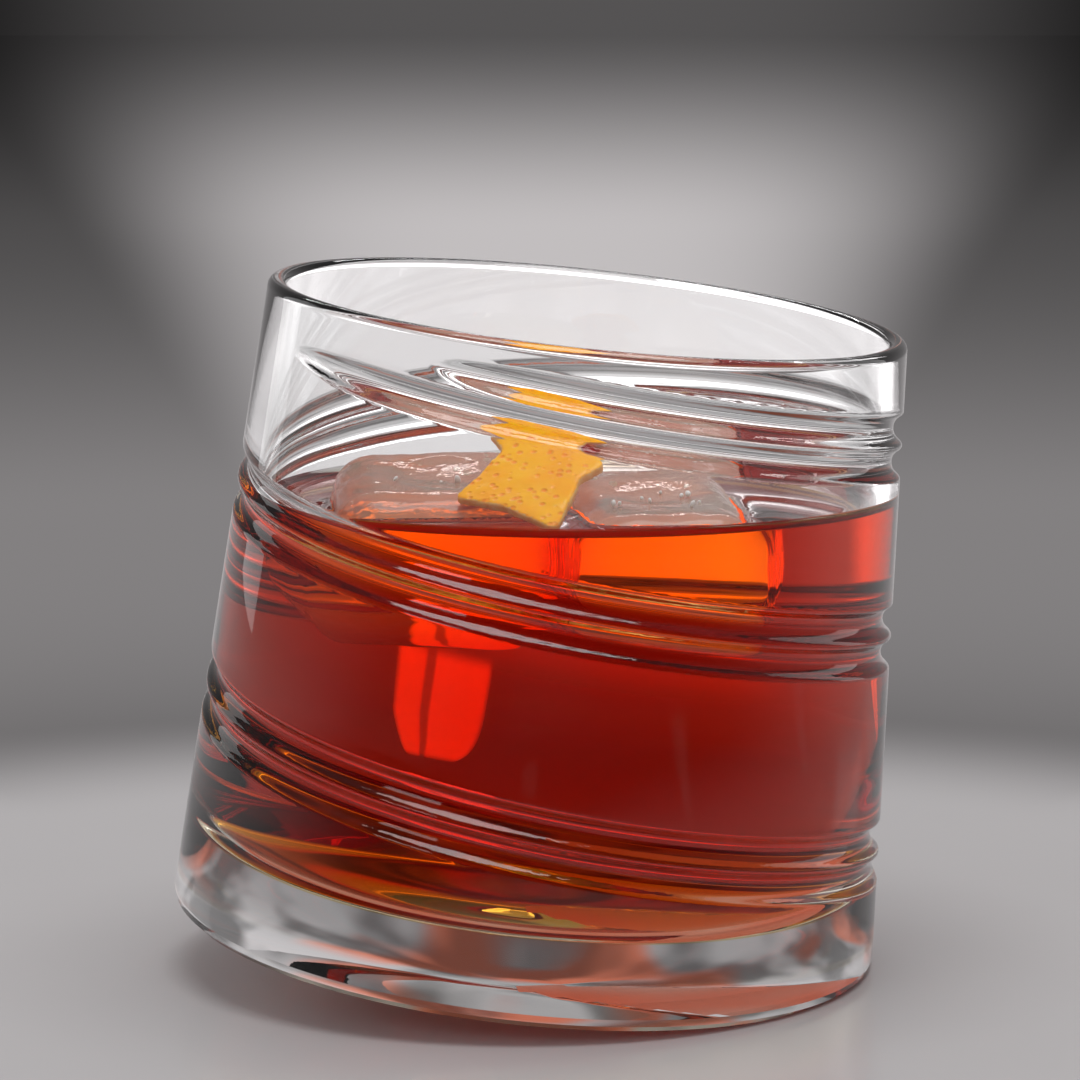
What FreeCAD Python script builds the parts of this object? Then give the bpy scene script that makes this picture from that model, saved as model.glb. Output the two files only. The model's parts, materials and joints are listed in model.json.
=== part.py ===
"""A negroni in a leaning spiral-cut tumbler: glass, drink, two pieces of ice and an orange peel.

Millimetres, +Z up, standing as it rests. The underside of the glass is a shallow cone, so the
glass always leans and can be rolled round its tip. Every piece but the contents is shaped in the
tumbler's own upright frame, whose origin is the centre of the base edge, and is then leaned over.
The contents float, so they are shaped in the standing frame, about the level of the drink.
"""
import FreeCAD, Part
import math
import os

Vector = FreeCAD.Vector
Rotation = FreeCAD.Rotation
UP = Vector(0, 0, 1)
ORIGIN = Vector(0, 0, 0)

# ---- the tumbler: driving dimensions ----
WALL_HEIGHT = 80.0            # base edge to lip, along the axis
BASE_RADIUS = 45.0            # outside, at the base edge
RIM_RADIUS = 40.0             # outside, at the lip
LIP_THICKNESS = 2.4
WALL_THICKNESS = 3.4          # at the base edge, thinning evenly up to the lip
FLOOR_THICKNESS = 7.6         # above the base edge, on the axis
BOWL_RADIUS = 12.0            # inside corner between wall and floor
BASE_EDGE_RADIUS = 1.2
LIP_ROUND_SHARE = 0.49        # rounding of each edge of the lip, as a share of its thickness

# ---- how it stands ----
LEAN_ANGLE = 6.7              # of the axis from upright, and the slope of the underside
LEAN_TOWARDS = -28.5          # direction of the lean, in degrees from +X towards +Y
REST_FLAT_DEPTH = 0.25        # of the flat ground along the line it rests on

# ---- the spiral: two grooves side by side, running down the wall to the right ----
GROOVE_DEPTH = 1.2
GROOVE_RADIUS = 1.9           # of the round bottom of a groove
SHOULDER_RADIUS = 0.7         # of its softened edges
SHOULDER_ANGLE = 15.0         # between a softened edge and the wall, where they meet
GROOVE_SPACING = 4.3          # between the two grooves, along the axis
SPIRAL_START = -61.0          # of the lower groove, in degrees from -Y towards +X
UPPER_GROOVE_LAG = 33.0       # the upper groove starts this many degrees later
SPIRAL_TURNS = 2.45           # of each groove
SPIRAL_TOP_MARGIN = 4.2       # lip to the middle of the pair, where it starts
SPIRAL_BOTTOM_MARGIN = 11.0   # base edge to the middle of the pair, where it ends
PITCH_GROWTH = 1.45           # last pitch as a multiple of the first
RUN_OUT_ANGLE = 26.0          # over which each end of a groove fades out
END_CLEARANCE = 0.25          # between the wall and the bottom of the cutter, at both ends
CUTTER_OVERRUN = 0.8          # of the cutter past each softened edge
SPINE_POINTS_PER_TURN = 48

# ---- the contents ----
DRINK_BELOW_LIP = 24.7        # centre of the lip down to the level of the drink
ICE_DRAFT = 14.6              # depth of the ice under the level
ICE_WALL_GAP = 1.6            # between the ice and the glass, at the level
ICE_GAP = 1.6                 # between the two pieces
ICE_SPLIT = -1.0              # of the middle of that gap, right of the drink's centre
ICE_BACK = 3.0                # back of the ice, behind the drink's centre
ICE_ROUND = 5.0               # melted edges
ICE_ROUND_SHARE = 0.45        # largest rounding, as a share of the shortest side
ICE_LEFT_REACH = 0.78         # of the left piece's side towards the glass, as a share of the way
ICE_RIGHT_REACH = 0.57
ICE_LEFT_RISE = 4.8           # top of the left piece above the level, in its middle
ICE_RIGHT_RISE = 2.8
ICE_LEFT_TURN = 5.0           # about the vertical
ICE_RIGHT_TURN = 5.0
ICE_LEFT_SLOPE = 8.5          # of the top, rising to the back
ICE_RIGHT_SLOPE = 5.0
ICE_DISH_RADIUS = 26.0        # of the shallow hollow melted into each top
ICE_DISH_DEPTH = 0.9

PEEL_WIDTH = 16.8             # across, at its widest
PEEL_LENGTH = 24.4            # front corner to back corner, along the slope
PEEL_THICKNESS = 1.1
PEEL_CURVE_RADIUS = 60.0      # outside of the curl across its width
PEEL_CORNER = 0.8             # rounding of the corners
PEEL_SLOPE = 28.5             # rising to the back
PEEL_TURN = -15.0             # of the uphill direction, about the vertical
PEEL_FORWARD = 19.4           # of its middle, in front of the drink's centre
PEEL_LEFT = 4.4               # of its middle, left of the drink's centre
PEEL_ICE_GAP = 0.25           # between the peel and the ice it lies on
# its hand-cut outline, from the front corner round to the right, as shares of width and length
PEEL_OUTLINE = ((0.34, -0.50), (0.37, -0.06), (0.50, 0.07), (0.18, 0.34), (-0.25, 0.50),
                (-0.48, 0.35), (-0.28, 0.15), (-0.42, -0.11), (-0.50, -0.24), (-0.10, -0.33))

# ---- fineness of the working ----
OUTLINE_POINTS = 24           # along each edge of the outline
SEATING_STEPS = 24            # halvings of the way down
UPRIGHT_TOLERANCE = 0.01      # sideways run of an edge that counts as upright
SLAB_REACH = 4 * BASE_RADIUS  # side of a block that is wider than everything

# ---- worked out from the driving dimensions ----
LEAN = math.radians(LEAN_ANGLE)
LEAN_DIRECTION = Vector(math.cos(math.radians(LEAN_TOWARDS)), math.sin(math.radians(LEAN_TOWARDS)), 0)
TILT = Rotation(UP.cross(LEAN_DIRECTION), LEAN_ANGLE)
AXIS = TILT.multVec(UP)
UNDERSIDE_DROP = BASE_RADIUS * math.tan(LEAN)
BASE_HEIGHT = BASE_RADIUS * math.sin(LEAN) - REST_FLAT_DEPTH
SPIRAL_END_TURNS = SPIRAL_TURNS + UPPER_GROOVE_LAG / 360


def outer_radius(height):
    """Outside radius of the wall at a height above the base edge."""
    return BASE_RADIUS + (RIM_RADIUS - BASE_RADIUS) * height / WALL_HEIGHT


def inner_radius(height):
    """Inside radius of the wall at a height above the base edge."""
    taper = height / WALL_HEIGHT
    return outer_radius(height) - WALL_THICKNESS - (LIP_THICKNESS - WALL_THICKNESS) * taper


def rounded_path(corners):
    """Edges through (radius, height, rounding) corners in the XZ plane, with an arc at each rounding."""
    points = [Vector(radius, 0, height) for radius, height, _ in corners]
    edges = []
    reached = points[0]
    for index in range(1, len(points) - 1):
        corner = points[index]
        rounding = corners[index][2]
        back = (points[index - 1] - corner).normalize()
        ahead = (points[index + 1] - corner).normalize()
        half_angle = back.getAngle(ahead) / 2
        setback = rounding / math.tan(half_angle)
        bisector = (back + ahead).normalize()
        middle = corner + bisector * (rounding / math.sin(half_angle) - rounding)
        start = corner + back * setback
        end = corner + ahead * setback
        edges.append(Part.makeLine(reached, start))
        edges.append(Part.Arc(start, middle, end).toShape())
        reached = end
    edges.append(Part.makeLine(reached, points[-1]))
    return edges


def revolved(edges):
    """Solid of revolution about Z of a path that starts and ends on the axis."""
    wire = Part.Wire(edges + [Part.makeLine(edges[-1].Vertexes[-1].Point, edges[0].Vertexes[0].Point)])
    return Part.Face(wire).revolve(ORIGIN, UP, 360)


def glass_outline():
    lip_round = LIP_ROUND_SHARE * LIP_THICKNESS
    return rounded_path([
        (0, -UNDERSIDE_DROP, 0),
        (BASE_RADIUS, 0, BASE_EDGE_RADIUS),
        (RIM_RADIUS, WALL_HEIGHT, lip_round),
        (RIM_RADIUS - LIP_THICKNESS, WALL_HEIGHT, lip_round),
        (inner_radius(FLOOR_THICKNESS), FLOOR_THICKNESS, BOWL_RADIUS),
        (0, FLOOR_THICKNESS, 0),
    ])


def hollow_outline():
    """The inside of the glass, carried straight up past the lip."""
    top = WALL_HEIGHT + LIP_THICKNESS
    return rounded_path([
        (0, FLOOR_THICKNESS, 0),
        (inner_radius(FLOOR_THICKNESS), FLOOR_THICKNESS, BOWL_RADIUS),
        (inner_radius(top), top, 0),
    ]) + [Part.makeLine(Vector(inner_radius(top), 0, top), Vector(0, 0, top))]


def spiral_height(turns):
    """Height of the middle of the pair of grooves, with the pitch widening steadily downwards."""
    drop = WALL_HEIGHT - SPIRAL_TOP_MARGIN - SPIRAL_BOTTOM_MARGIN
    part = turns / SPIRAL_END_TURNS
    return WALL_HEIGHT - SPIRAL_TOP_MARGIN - drop * part * (2 + (PITCH_GROWTH - 1) * part) / (1 + PITCH_GROWTH)


def groove_spine(first_turn, offset):
    """Line on the wall that a groove follows, lifted clear of the glass at both ends."""
    clear = GROOVE_DEPTH + END_CLEARANCE
    run_out = RUN_OUT_ANGLE / 360
    count = math.ceil(SPIRAL_TURNS * SPINE_POINTS_PER_TURN)
    points = []
    for index in range(count + 1):
        turns = SPIRAL_TURNS * index / count
        inside = min(turns, SPIRAL_TURNS - turns, run_out) / run_out
        height = spiral_height(first_turn + turns) + offset
        radius = outer_radius(height) + clear * (1 - inside) ** 2
        angle = math.radians(SPIRAL_START - 90) + 2 * math.pi * (first_turn + turns)
        points.append(Vector(radius * math.cos(angle), radius * math.sin(angle), height))
    curve = Part.BSplineCurve()
    curve.interpolate(points)
    return curve


def groove_profile(place, outwards, along):
    """Closed outline of the cutter: round bottom, softened shoulders, and room outside the wall."""
    shoulder = math.radians(SHOULDER_ANGLE)
    reach = math.acos((GROOVE_RADIUS - GROOVE_DEPTH + SHOULDER_RADIUS * math.cos(shoulder))
                      / (GROOVE_RADIUS + SHOULDER_RADIUS))

    def bottom(angle):
        return (GROOVE_RADIUS * math.sin(angle), GROOVE_RADIUS * (1 - math.cos(angle)) - GROOVE_DEPTH)

    def edge(angle):
        side, depth = bottom(reach)
        return (side + SHOULDER_RADIUS * (math.sin(reach) - math.sin(angle)),
                depth + SHOULDER_RADIUS * (math.cos(angle) - math.cos(reach)))

    def at(point, side=1):
        return place + along * (side * point[0]) + outwards * point[1]

    lifted = (edge(shoulder)[0] + CUTTER_OVERRUN, CUTTER_OVERRUN * math.tan(shoulder))
    outside = (lifted[0], GROOVE_DEPTH + lifted[1])
    middle = (reach + shoulder) / 2
    edges = [Part.Arc(at(bottom(reach), -1), at(bottom(0)), at(bottom(reach))).toShape()]
    for side in (1, -1):
        edges.append(Part.Arc(at(bottom(reach), side), at(edge(middle), side), at(edge(shoulder), side)).toShape())
        edges.append(Part.makeLine(at(edge(shoulder), side), at(lifted, side)))
        edges.append(Part.makeLine(at(lifted, side), at(outside, side)))
    edges.append(Part.makeLine(at(outside, 1), at(outside, -1)))
    return Part.Wire(Part.__sortEdges__(edges))


def groove_cutter(first_turn, offset):
    spine = groove_spine(first_turn, offset)
    start = spine.value(spine.FirstParameter)
    forward = spine.tangent(spine.FirstParameter)[0]
    outwards = forward.cross(UP).normalize()
    if outwards.dot(Vector(start.x, start.y, 0)) < 0:
        outwards = outwards * -1
    along = forward.cross(outwards).normalize()
    pipe = Part.BRepOffsetAPI.MakePipeShell(Part.Wire(spine.toShape()))
    pipe.setBiNormalMode(UP)
    pipe.add(groove_profile(start, outwards, along), False, False)
    pipe.build()
    pipe.makeSolid()
    return pipe.shape()


def leaned(shape):
    """The shape moved from the tumbler's upright frame to where it stands."""
    placed = shape.copy()
    placed.Placement = FreeCAD.Placement(STAND, TILT)
    return placed


def standing_place():
    """Place of the base edge's centre that puts the bottom centre of the whole's box at the origin."""
    outline = [point for edge in glass_outline() for point in edge.discretize(OUTLINE_POINTS)]

    def middle(lean):
        spread = math.sqrt(1 - lean * lean)
        high = max(point.x * spread + point.z * lean for point in outline)
        low = min(-point.x * spread + point.z * lean for point in outline)
        return (high + low) / 2
    return Vector(-middle(AXIS.x), -middle(AXIS.y), BASE_HEIGHT)


STAND = standing_place()
LIP_CENTRE = STAND + AXIS * WALL_HEIGHT
LEVEL = LIP_CENTRE.z - DRINK_BELOW_LIP
LEVEL_ON_AXIS = (LEVEL - STAND.z) / AXIS.z
DRINK_CENTRE = STAND + AXIS * LEVEL_ON_AXIS
DRINK_RADIUS = inner_radius(LEVEL_ON_AXIS)


def slab(low, high):
    """Wide flat block between two heights."""
    return Part.makeBox(SLAB_REACH, SLAB_REACH, high - low, Vector(-SLAB_REACH / 2, -SLAB_REACH / 2, low))


def make_glass():
    body = revolved(glass_outline())
    for first_turn, offset in ((0, -GROOVE_SPACING / 2), (UPPER_GROOVE_LAG / 360, GROOVE_SPACING / 2)):
        body = body.cut(groove_cutter(first_turn, offset))
    return leaned(body).cut(slab(-BASE_RADIUS, 0))


def ice_block(left, right, rise, turn, slope):
    """Melted cube from its left and right sides, measured from the drink's centre."""
    front = math.sqrt((DRINK_RADIUS - ICE_WALL_GAP) ** 2 - max(abs(left), abs(right)) ** 2)
    width = right - left
    depth = front + ICE_BACK
    height = rise + ICE_DRAFT
    block = Part.makeBox(width, depth, height, Vector(-width / 2, -depth / 2, -height))
    block = block.makeFillet(min(ICE_ROUND, ICE_ROUND_SHARE * min(width, depth, height)), block.Edges)
    dish = Part.makeSphere(ICE_DISH_RADIUS, Vector(0, 0, ICE_DISH_RADIUS - ICE_DISH_DEPTH))
    block = block.cut(dish)
    centre = DRINK_CENTRE + Vector((left + right) / 2, (ICE_BACK - front) / 2, rise)
    pose = Rotation(UP, turn) * Rotation(Vector(1, 0, 0), slope)
    block.Placement = FreeCAD.Placement(centre, pose)
    return block


def make_ice_left():
    side = DRINK_RADIUS - ICE_WALL_GAP
    return ice_block(-ICE_LEFT_REACH * side, ICE_SPLIT - ICE_GAP / 2, ICE_LEFT_RISE, ICE_LEFT_TURN, ICE_LEFT_SLOPE)


def make_ice_right():
    side = DRINK_RADIUS - ICE_WALL_GAP
    return ice_block(ICE_SPLIT + ICE_GAP / 2, ICE_RIGHT_REACH * side, ICE_RIGHT_RISE, ICE_RIGHT_TURN, ICE_RIGHT_SLOPE)


def make_peel(resting_on):
    shell_length = 2 * PEEL_LENGTH
    place = Vector(0, -shell_length / 2, -PEEL_CURVE_RADIUS)
    along = Vector(0, 1, 0)
    shell = Part.makeCylinder(PEEL_CURVE_RADIUS, shell_length, place, along)
    shell = shell.cut(Part.makeCylinder(PEEL_CURVE_RADIUS - PEEL_THICKNESS, shell_length, place, along))
    corners = [Vector(across * PEEL_WIDTH, up * PEEL_LENGTH, -PEEL_WIDTH / 2) for across, up in PEEL_OUTLINE]
    prism = Part.Face(Part.makePolygon(corners + corners[:1])).extrude(UP * PEEL_WIDTH)
    prism = prism.makeFillet(PEEL_CORNER, [edge for edge in prism.Edges if is_upright(edge)])
    peel = prism.common(shell)
    peel.rotate(ORIGIN, Vector(1, 0, 0), PEEL_SLOPE)
    peel.rotate(ORIGIN, UP, PEEL_TURN)
    peel.translate(DRINK_CENTRE + Vector(-PEEL_LEFT, -PEEL_FORWARD, 0))
    return seated(peel, resting_on)


def is_upright(edge):
    start, end = (vertex.Point for vertex in edge.Vertexes)
    return math.hypot(end.x - start.x, end.y - start.y) < UPRIGHT_TOLERANCE


def seated(piece, support):
    """The piece let down until it is PEEL_ICE_GAP above its support."""
    high = support.BoundBox.ZMax - piece.BoundBox.ZMin
    low = -(piece.BoundBox.ZMax - LEVEL)
    for _ in range(SEATING_STEPS):
        middle = (high + low) / 2
        moved = piece.copy()
        moved.translate(UP * middle)
        if moved.distToShape(support)[0] > PEEL_ICE_GAP:
            high = middle
        else:
            low = middle
    placed = piece.copy()
    placed.translate(UP * high)
    return placed


def make_drink(floating):
    filled = leaned(revolved(hollow_outline())).common(slab(-BASE_RADIUS, LEVEL))
    for piece in floating:
        filled = filled.cut(piece)
    return filled


def main():
    os.makedirs("parts", exist_ok=True)
    ice_left = make_ice_left()
    ice_right = make_ice_right()
    peel = make_peel(Part.makeCompound([ice_left, ice_right]))
    nodes = {
        "glass": make_glass(),
        "drink": make_drink([ice_left, ice_right, peel]),
        "ice_left": ice_left,
        "ice_right": ice_right,
        "orange_peel": peel,
    }
    for name, shape in nodes.items():
        shape.exportStep(os.path.join("parts", name + ".step"))
        box = shape.BoundBox
        print(f"{name:12s} solids {len(shape.Solids)} valid {shape.isValid()} volume {shape.Volume / 1000:8.2f} cm3 "
              f"x {box.XMin:.1f}..{box.XMax:.1f} y {box.YMin:.1f}..{box.YMax:.1f} z {box.ZMin:.1f}..{box.ZMax:.1f}")


main()
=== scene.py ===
"""A negroni in a leaning tumbler with a spiral cut in its wall.

The glass, the drink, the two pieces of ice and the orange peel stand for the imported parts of
the same names. Everything is in metres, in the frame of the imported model.
"""

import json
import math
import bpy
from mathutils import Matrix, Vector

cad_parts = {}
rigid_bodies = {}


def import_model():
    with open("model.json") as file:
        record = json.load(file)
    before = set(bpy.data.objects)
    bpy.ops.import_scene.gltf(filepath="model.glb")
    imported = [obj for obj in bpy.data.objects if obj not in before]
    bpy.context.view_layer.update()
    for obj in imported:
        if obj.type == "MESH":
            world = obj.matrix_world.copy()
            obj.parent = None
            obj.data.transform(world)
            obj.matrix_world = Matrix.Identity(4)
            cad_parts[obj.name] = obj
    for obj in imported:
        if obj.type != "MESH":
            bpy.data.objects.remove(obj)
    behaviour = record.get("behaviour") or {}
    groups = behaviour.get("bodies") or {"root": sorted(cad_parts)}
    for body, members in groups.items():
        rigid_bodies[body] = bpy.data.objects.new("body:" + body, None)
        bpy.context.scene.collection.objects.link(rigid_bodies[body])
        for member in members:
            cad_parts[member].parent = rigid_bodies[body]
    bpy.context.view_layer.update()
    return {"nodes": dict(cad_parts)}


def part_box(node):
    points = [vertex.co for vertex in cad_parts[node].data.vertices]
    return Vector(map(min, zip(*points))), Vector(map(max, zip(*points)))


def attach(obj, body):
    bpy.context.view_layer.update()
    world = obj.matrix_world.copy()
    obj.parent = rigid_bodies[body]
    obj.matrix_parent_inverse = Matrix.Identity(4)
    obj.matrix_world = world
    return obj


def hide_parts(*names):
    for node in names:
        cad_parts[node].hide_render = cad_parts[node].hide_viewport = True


bl_info = {
    "name": "Negroni in a leaning tumbler",
    "version": (1, 0, 0),
    "blender": (4, 5, 0),
    "location": "View3D > Sidebar > Negroni",
    "description": "Builds a red drink with ice and an orange peel in a leaning spiral-cut tumbler",
    "category": "Object",
}

import bmesh
import bpy
import numpy as np
from bpy.props import FloatProperty, FloatVectorProperty, IntProperty, PointerProperty
from mathutils import Matrix, Vector, noise
from mathutils.bvhtree import BVHTree

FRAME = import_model()
BODY = "root"
MM = 0.001
WHITE, BLACK = (1, 1, 1, 1), (0, 0, 0, 1)
FAINT_ROSE = (1.0, 0.99, 0.98, 1)


# ---------------------------------------------------------------- settings


def a_length(name, description, millimetres):
    return FloatProperty(name=name, description=description, default=millimetres * MM, unit="LENGTH")


def an_angle(name, description, degrees):
    return FloatProperty(name=name, description=description, default=math.radians(degrees), subtype="ANGLE")


def a_colour(name, description, default):
    return FloatVectorProperty(name=name, description=description, default=default, subtype="COLOR",
                               size=4, min=0, max=1)


class TumblerSettings(bpy.types.PropertyGroup):
    wall_height: a_length("Wall height", "Base edge to lip, along the axis", 80)
    base_radius: a_length("Base radius", "Outside, at the base edge", 45)
    rim_radius: a_length("Rim radius", "Outside, at the lip", 40)
    lip_thickness: a_length("Lip thickness", "Thickness of the wall at the lip", 2.4)
    wall_thickness: a_length("Wall thickness", "Thickness of the wall at the base", 3.4)
    floor_thickness: a_length("Floor thickness", "Above the base edge, on the axis", 7.6)
    bowl_radius: a_length("Bowl radius", "Inside corner between wall and floor", 12)
    lean: an_angle("Lean", "Angle of the axis from upright", 6.7)
    lean_towards: an_angle("Lean towards", "Direction of the lean, from +X towards +Y", -28.5)
    rest_flat: a_length("Rest flat", "Depth of the flat ground where it rests", 0.25)
    groove_depth: a_length("Groove depth", "Depth of the cut", 1.2)
    groove_radius: a_length("Groove radius", "Round bottom of the cut", 1.9)
    shoulder_radius: a_length("Shoulder radius", "Softened edges of the cut", 0.7)
    shoulder_angle: an_angle("Shoulder angle", "Between a softened edge and the wall", 15)
    groove_spacing: a_length("Groove spacing", "Between the two cuts, along the axis", 4.3)
    spiral_start: an_angle("Spiral start", "Of the lower cut, from -Y towards +X", -61)
    upper_lag: an_angle("Upper lag", "The upper cut starts this much later", 33)
    spiral_turns: FloatProperty(name="Spiral turns", description="Turns of each cut", default=2.45)
    top_margin: a_length("Top margin", "Lip to the pair of cuts, where it starts", 4.2)
    bottom_margin: a_length("Bottom margin", "Base edge to the pair, where it ends", 11)
    pitch_growth: FloatProperty(name="Pitch growth", description="Last pitch as a multiple of the first",
                                default=1.45)
    run_out: an_angle("Run out", "Angle over which each end of a cut fades", 26)
    end_clearance: a_length("End clearance", "Height the cutter is lifted clear at the ends", 0.25)
    columns: IntProperty(name="Columns", description="Faces round the wall", default=288)
    rows: IntProperty(name="Rows", description="Faces up the cut wall", default=264)
    ior: FloatProperty(name="Index", description="Index of refraction of the glass", default=1.5)
    tint: a_colour("Tint", "Colour of the glass", (0.97, 0.985, 0.985, 1))


class DrinkSettings(bpy.types.PropertyGroup):
    below_lip: a_length("Below lip", "Centre of the lip down to the level", 24.7)
    wall_reach: a_length("Wall reach", "How far the drink reaches into the glass", 0.15)
    meniscus: a_length("Meniscus", "Rise of the drink at the wall", 1.5)
    meniscus_width: a_length("Meniscus width", "Over which the rise dies away", 1.1)
    ice_meniscus: a_length("Ice meniscus", "Rise of the drink at the ice", 0.6)
    ior: FloatProperty(name="Index", description="Index of refraction of the drink", default=1.35)
    density: FloatProperty(name="Density", description="Absorption per metre of the most absorbed colour",
                           default=220.0)
    colour: a_colour("Colour", "Share of each colour left by the absorption", (0.944, 0.70, 0.0, 1))


class IceSettings(bpy.types.PropertyGroup):
    grain: a_length("Grain", "Size of the faces", 0.6)
    melt: a_length("Melt", "Height of the melted waves", 0.45)
    ior: FloatProperty(name="Index", description="Index of refraction of the ice", default=1.31)
    bubbles: IntProperty(name="Bubbles", description="Air bubbles in each piece", default=14)
    # painted light: these two colours stand in for the glow that the drink throws on the ice, not a colour of the
    # ice itself
    tint: a_colour("Tint", "Colour on the crests of the melted waves", (1.0, 0.84, 0.70, 1))
    stain_and_painted_glow: a_colour("Stain", "Colour that the drink leaves in the hollows", (1.0, 0.50, 0.28, 1))


class PeelSettings(bpy.types.PropertyGroup):
    grain: a_length("Grain", "Size of the faces", 0.28)
    zest: a_colour("Zest", "Colour of the skin", (1.0, 0.47, 0.0, 1))
    zest_deep: a_colour("Deep zest", "Colour of the skin in the oil glands", (0.96, 0.28, 0.0, 1))
    pith: a_colour("Pith", "Colour of the inside", (0.90, 0.55, 0.22, 1))
    pith_stain: a_colour("Pith stain", "Colour that the drink leaves in the pith", (0.86, 0.34, 0.04, 1))


class StageSettings(bpy.types.PropertyGroup):
    distance: a_length("Camera distance", "Camera to the glass, along the floor", 505.4)
    camera_height: a_length("Camera height", "Above the floor", 120.9)
    aim_height: a_length("Aim height", "Height of the point looked at", 54.35)
    lens: FloatProperty(name="Lens", description="Focal length on a 36 mm sensor", default=133.88)
    floor_colour: a_colour("Floor colour", "Colour of the floor", (0.50, 0.49, 0.495, 1))
    backdrop: a_colour("Backdrop", "Lightest colour of the backdrop", (0.54, 0.515, 0.52, 1))
    far_light: FloatProperty(name="Far light", description="Added light behind the top of the drink", default=3.0)
    window: FloatProperty(name="Window", description="Added light of the window behind the drink", default=5.0)
    passed: FloatProperty(name="Passed", description="Share of the backdrop that shows through the object",
                          default=1.55)


def settings(name):
    """The sizes and colours of one group, as the panel shows them."""
    return getattr(bpy.context.scene, name)


# ---------------------------------------------------------------- shape of the tumbler

# the two narrow facets between the underside and the wall, in mm: reach along the underside, in and up
# from the base edge, and the height at which the wall starts
FACET_REACH, FACET_IN, FACET_UP, FACET_TOP = 1.25, 0.36, 0.62, 1.55
LIP_ROUNDING = 0.49     # of the lip's thickness
LIP_DROP = 1.25 * MM    # the round lip reaches this far down
INSIDE_FROM = 7.0 * MM  # the hollow is higher than this
WALL_SLACK = 0.2 * MM   # a face counts as inside wall up to this far out
NEAR = 0.02 * MM        # points this near are the same


def outer_radius(height):
    """Outside of the wall at a height along the axis, without its grooves."""
    t = settings("tumbler")
    return t.base_radius + (t.rim_radius - t.base_radius) * height / t.wall_height


def inner_radius(height):
    """Inside of the wall at a height along the axis."""
    t = settings("tumbler")
    thickness = t.wall_thickness + (t.lip_thickness - t.wall_thickness) * height / t.wall_height
    return outer_radius(height) - thickness


def arc_corner(before, corner, after, rounding, steps):
    """Points of the arc that rounds a corner of an outline, ends included."""
    corner = Vector(corner)
    back = (Vector(before) - corner).normalized()
    ahead = (Vector(after) - corner).normalized()
    half = back.angle(ahead) / 2
    centre = corner + (back + ahead).normalized() * rounding / math.sin(half)
    start = corner + back * rounding / math.tan(half) - centre
    end = corner + ahead * rounding / math.tan(half) - centre
    turn = start.angle_signed(end)
    return [centre + Matrix.Rotation(-turn * step / steps, 2) @ start for step in range(steps + 1)]


def stretch(start, end, steps):
    """Points from start to end, without start."""
    start, end = Vector(start), Vector(end)
    return [start.lerp(end, (step + 1) / steps) for step in range(steps)]


def hollow_outline(offset, top):
    """The inside of the glass from the middle of its floor to a height, moved into the glass."""
    t = settings("tumbler")
    floor = t.floor_thickness
    corners = [(0, floor), (inner_radius(floor), floor), (inner_radius(top), top)]
    corner = arc_corner(*corners, t.bowl_radius, 18)
    slope = (Vector(corners[2]) - Vector(corners[1])).normalized()
    outward = Vector((slope.y, -slope.x))
    centre = corner[0] + Vector((0, t.bowl_radius))
    moved = [centre + (point - centre) * (1 + offset / t.bowl_radius) for point in corner]
    flat = stretch((0, floor - offset), moved[0], 8)
    return [Vector((0, floor - offset))] + flat + moved[1:] + [Vector(corners[2]) + outward * offset]


def groove_depth(angle, height):
    """How far points of the wall move in the two spiral cuts, as negative numbers, and 0 outside them."""
    t = settings("tumbler")
    # section of a cut: a round bottom, a softened edge on each side, and a straight slope above it
    shoulder = t.shoulder_angle
    reach = math.acos((t.groove_radius - t.groove_depth + t.shoulder_radius * math.cos(shoulder))
                      / (t.groove_radius + t.shoulder_radius))
    round_side = t.groove_radius * math.sin(reach)
    round_top = t.groove_radius * (1 - math.cos(reach)) - t.groove_depth
    edge_side = round_side + t.shoulder_radius * (math.sin(reach) - math.sin(shoulder))
    edge_top = round_top + t.shoulder_radius * (math.cos(shoulder) - math.cos(reach))
    drop = t.wall_height - t.top_margin - t.bottom_margin
    all_turns = t.spiral_turns + t.upper_lag / math.tau
    depth = np.zeros_like(height)
    start = t.spiral_start - math.pi / 2
    # each cut passes a point up to four times, once for each turn
    for first, offset in ((0.0, -t.groove_spacing / 2), (t.upper_lag / math.tau, t.groove_spacing / 2)):
        first_pass = np.ceil(first - (angle - start) / math.tau)
        for extra in range(4):
            turns = (angle - start) / math.tau + first_pass + extra
            part = turns / all_turns
            middle = t.wall_height - t.top_margin + offset - (
                drop * part * (2 + (t.pitch_growth - 1) * part) / (1 + t.pitch_growth))
            steep = drop * (2 + 2 * (t.pitch_growth - 1) * part) / (1 + t.pitch_growth) / all_turns
            across = np.abs(height - middle) * np.cos(np.arctan(steep / math.tau / outer_radius(middle)))
            run = t.run_out / math.tau
            inside = np.minimum(np.minimum(turns - first, first + t.spiral_turns - turns), run) / run
            lift = (t.groove_depth + t.end_clearance) * (1 - np.clip(inside, 0, 1)) ** 2
            bottom = t.groove_radius - np.sqrt(np.maximum(t.groove_radius**2 - across**2, 0)) - t.groove_depth
            side = np.clip((round_side + t.shoulder_radius * math.sin(reach) - across) / t.shoulder_radius, -1, 1)
            soft = round_top + t.shoulder_radius * (np.sqrt(1 - side**2) - math.cos(reach))
            line = edge_top + (across - edge_side) * math.tan(shoulder)
            shape = np.where(across < round_side, bottom, np.where(across < edge_side, soft, line)) + lift
            valid = (turns >= first) & (turns <= first + t.spiral_turns)
            depth = np.minimum(depth, np.where(valid, shape, 0.0))
    return depth


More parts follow.
